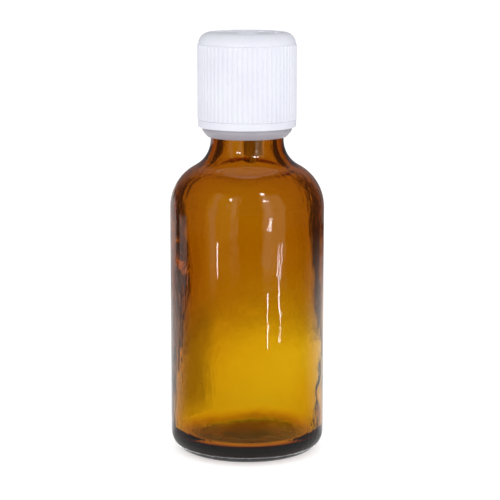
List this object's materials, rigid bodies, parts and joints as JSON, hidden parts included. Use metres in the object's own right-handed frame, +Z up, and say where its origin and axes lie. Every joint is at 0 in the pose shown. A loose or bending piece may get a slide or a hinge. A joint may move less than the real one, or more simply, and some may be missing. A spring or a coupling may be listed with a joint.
{
  "type": "prescription vial",
  "caption": "Round amber glass medicine vial with a dropper insert in its neck, a push-and-turn child-resistant screw cap and a tamper-evident ring.",
  "frame": {"origin": "centre of the bottle's base, on the surface it stands on", "axes": "+Z up along the bottle's axis, from the base to the cap; +X towards the side of the neck where the air tube lies, +Y to the back"},
  "size_m": [0.037, 0.037, 0.1014],
  "materials": {
    "amber_glass": "amber moulded soda-lime glass, polished",
    "insert_plastic": "natural low-density polyethylene, slightly milky",
    "ring_plastic": "white polypropylene, smooth moulded",
    "inner_cap_plastic": "white polyethylene, smooth moulded",
    "outer_cap_plastic": "white polypropylene, smooth moulded with fine ribs"
  },
  "bodies": {
    "vial": {"bottle": "amber_glass", "dropper_insert": "insert_plastic"},
    "ring": {"tamper_ring": "ring_plastic"},
    "cap_core": {"inner_cap": "inner_cap_plastic"},
    "cap_spring": {"spring_tongues": "outer_cap_plastic"},
    "cap_shell": {"outer_cap": "outer_cap_plastic"}
  },
  "joints": [
    {"name": "cap_turn", "type": "hinge", "parent": "vial", "child": "ring", "pos_m": [0, 0, 0.0781], "axis": [0, 0, 1], "range_deg": [0, 2521]},
    {"name": "cap_rise", "type": "slide", "parent": "ring", "child": "cap_core", "axis": [0, 0, 1], "range_m": [0, 0.021]},
    {"name": "shell_spin", "type": "hinge", "parent": "cap_core", "child": "cap_spring", "pos_m": [0, 0, 0.0971], "axis": [0, 0, 1], "continuous": true},
    {"name": "shell_press", "type": "slide", "parent": "cap_spring", "child": "cap_shell", "axis": [0, 0, 1], "range_m": [-0.0015, 0], "stiffness_N_per_m": 15000, "springref_m": 0.0003, "deforming": ["spring_tongues"]}
  ],
  "couplings": [
    {"joint": "cap_turn", "follows": "cap_rise", "rad_per_m": 2094.4}
  ]
}
